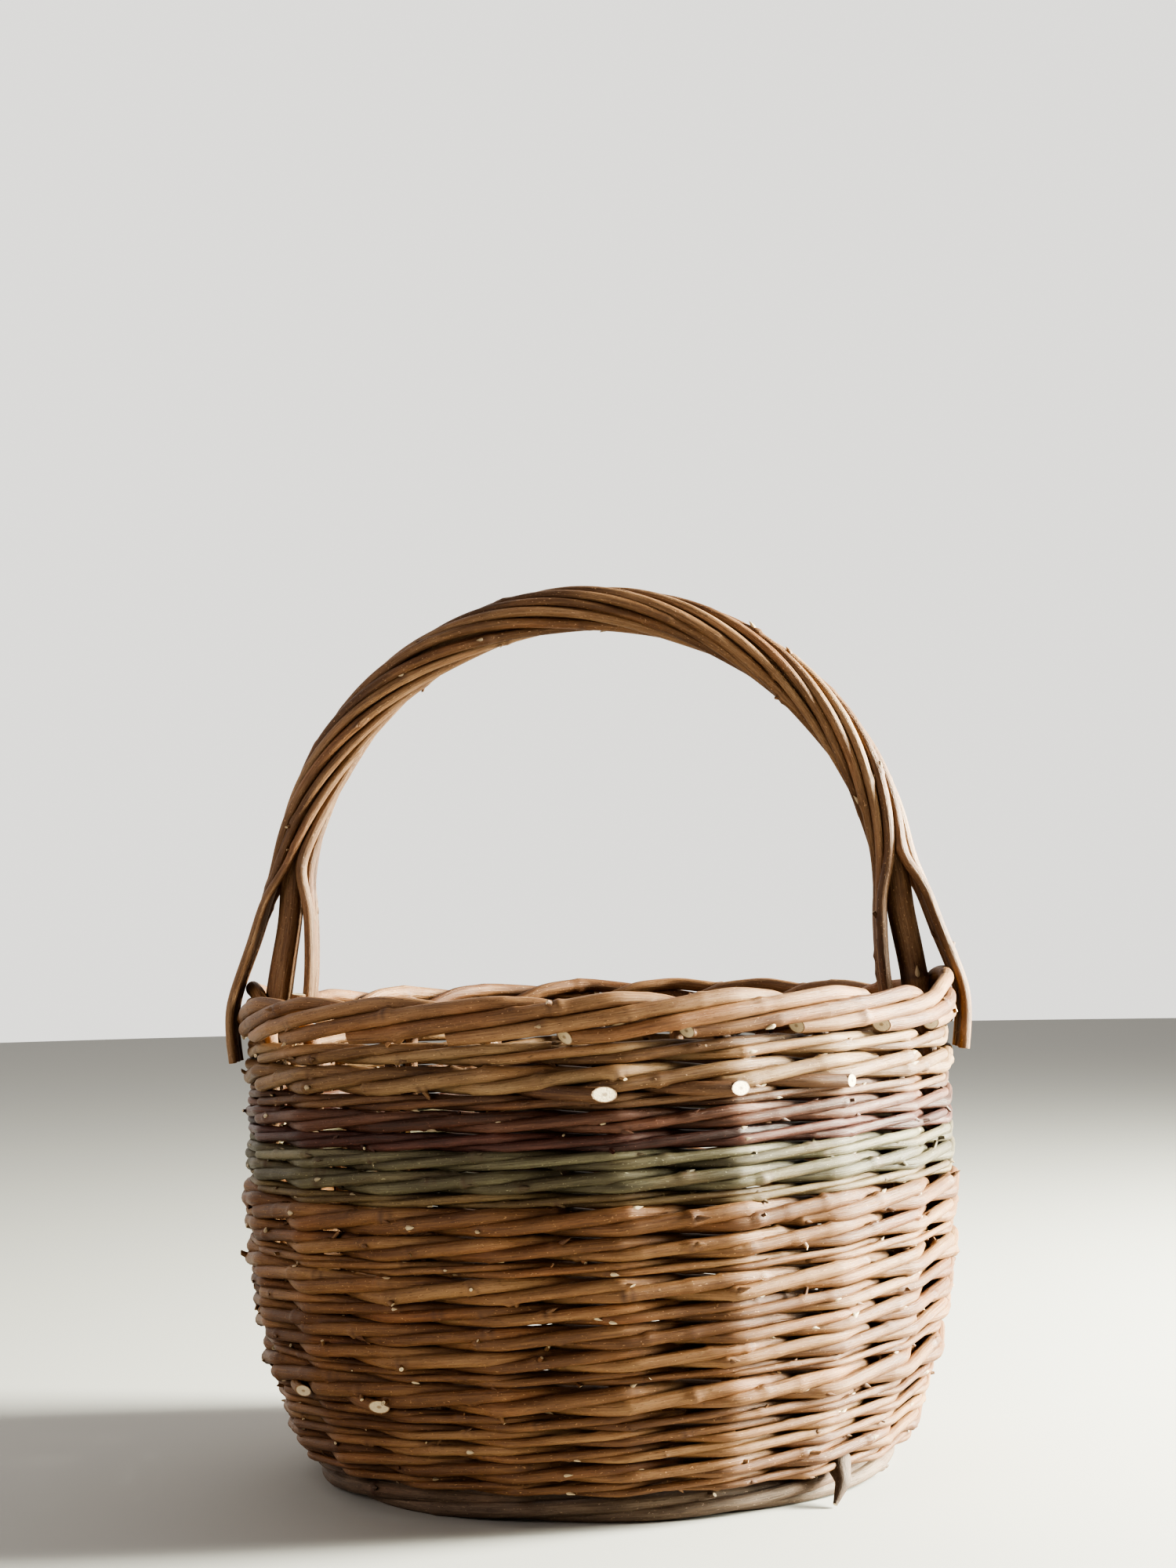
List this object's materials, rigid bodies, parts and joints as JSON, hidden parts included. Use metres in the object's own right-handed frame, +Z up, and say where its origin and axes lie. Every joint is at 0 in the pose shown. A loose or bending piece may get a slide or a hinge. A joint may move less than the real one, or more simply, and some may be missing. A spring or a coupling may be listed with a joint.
{
  "type": "willow basket",
  "caption": "Round woven willow basket with waled sides in banded bark colours, a rolled border and a fixed twisted bow handle.",
  "frame": {"origin": "on the ground under the middle of the round base, on the basket's axis", "axes": "+Z up the basket's axis; the handle bow stands in the XZ plane; -Y is the front seen in the picture"},
  "size_m": [0.3568, 0.343, 0.4195],
  "materials": {
    "willow_border": "satin",
    "willow_buff": "satin",
    "willow_olive": "satin",
    "willow_green": "satin",
    "willow_maroon": "satin",
    "willow_red": "satin",
    "willow_brown": "satin",
    "willow_tan": "satin",
    "willow_base": "satin",
    "willow_foot": "matte",
    "willow_handle": "satin"
  },
  "bodies": {
    "root": {"stake_01": "willow_border", "stake_02": "willow_border", "stake_03": "willow_border", "stake_04": "willow_border", "stake_05": "willow_border", "stake_06": "willow_border", "stake_07": "willow_border", "stake_08": "willow_border", "stake_09": "willow_border", "stake_10": "willow_border", "stake_11": "willow_border", "stake_12": "willow_border", "stake_13": "willow_border", "stake_14": "willow_border", "stake_15": "willow_border", "stake_16": "willow_border", "stake_17": "willow_border", "stake_18": "willow_border", "stake_19": "willow_border", "stake_20": "willow_border", "wale_row_01": "willow_buff", "wale_row_02": "willow_buff", "wale_row_03": "willow_buff", "wale_row_04": "willow_buff", "wale_row_05": "willow_buff", "wale_row_06": "willow_buff", "wale_row_07": "willow_buff", "wale_row_08": "willow_buff", "wale_row_09": "willow_buff", "wale_row_10": "willow_buff", "wale_row_11": "willow_buff", "wale_row_12": "willow_buff", "wale_row_13": "willow_buff", "wale_row_14": "willow_buff", "wale_row_15": "willow_olive", "wale_row_16": "willow_green", "wale_row_17": "willow_green", "wale_row_18": "willow_maroon", "wale_row_19": "willow_red", "wale_row_20": "willow_brown", "wale_row_21": "willow_tan", "wale_row_22": "willow_tan", "base_stick_1": "willow_base", "base_stick_2": "willow_base", "base_stick_3": "willow_base", "base_stick_4": "willow_base", "base_stick_5": "willow_base", "base_weave": "willow_base", "foot_ring": "willow_foot", "handle_bow": "willow_handle", "handle_wrap_01": "willow_handle", "handle_wrap_02": "willow_handle", "handle_wrap_03": "willow_handle", "handle_wrap_04": "willow_handle", "handle_wrap_05": "willow_handle", "handle_wrap_06": "willow_handle", "handle_wrap_07": "willow_handle", "handle_wrap_08": "willow_handle", "handle_wrap_09": "willow_handle", "handle_wrap_10": "willow_handle"}
  },
  "joints": []
}
